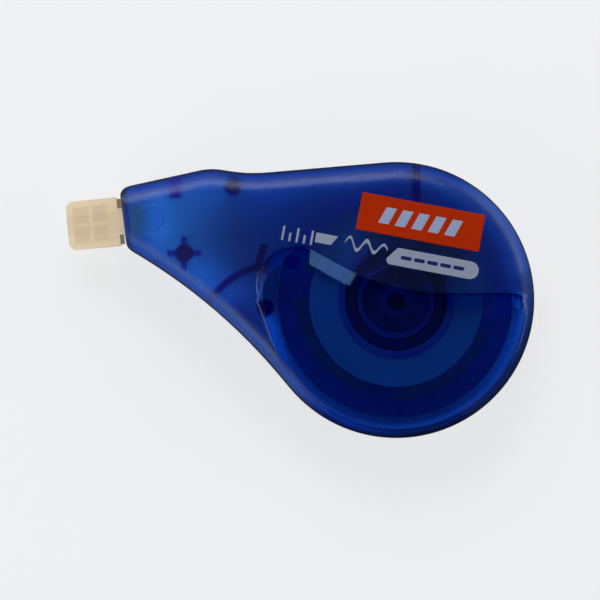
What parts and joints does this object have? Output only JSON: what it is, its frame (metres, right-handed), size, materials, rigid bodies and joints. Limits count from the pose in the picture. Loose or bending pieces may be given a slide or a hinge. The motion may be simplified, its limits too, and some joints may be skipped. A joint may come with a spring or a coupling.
{
  "type": "correction tape roller",
  "caption": "Teardrop translucent casing with a recessed window over coaxial tape reels and a flat applicator tip that lays correction tape.",
  "frame": {"origin": "on the reel axis, at the flat back face of the casing", "axes": "+Z along the reel axis out of the front face, -X towards the applicator tip, +Y across the casing towards the label side"},
  "size_m": [0.0957, 0.0562, 0.0171],
  "materials": {
    "casing_front": "translucent blue, fine frosted grain with a polished window",
    "casing_rear": "translucent blue, fine frosted grain",
    "label": "satin printed label",
    "tip": "translucent cream moulding",
    "spool": "satin moulded plastic",
    "clutch": "matte black rubber",
    "white_tape": "matte white coating on film",
    "reel": "satin moulded plastic",
    "clear_film": "clear carrier film"
  },
  "bodies": {
    "casing": {"front_shell": "casing_front", "rear_shell": "casing_rear", "face_label": "label", "tip_head": "tip", "tape_supply_run": "white_tape", "tape_return_run": "clear_film"},
    "supply_reel": {"supply_spool": "spool", "clutch_ring": "clutch", "supply_tape": "white_tape"},
    "take_up_reel": {"take_up_reel": "reel", "used_film": "clear_film"}
  },
  "joints": [
    {"name": "supply_spin", "type": "hinge", "parent": "casing", "child": "supply_reel", "pos_m": [0, 0, 0.011], "axis": [0, 0, 1], "continuous": true},
    {"name": "take_up_spin", "type": "hinge", "parent": "casing", "child": "take_up_reel", "pos_m": [0, 0, 0.005], "axis": [0, 0, 1], "continuous": true}
  ],
  "couplings": [
    {"joint": "supply_spin", "follows": "take_up_spin", "ratio": 1.0142}
  ]
}
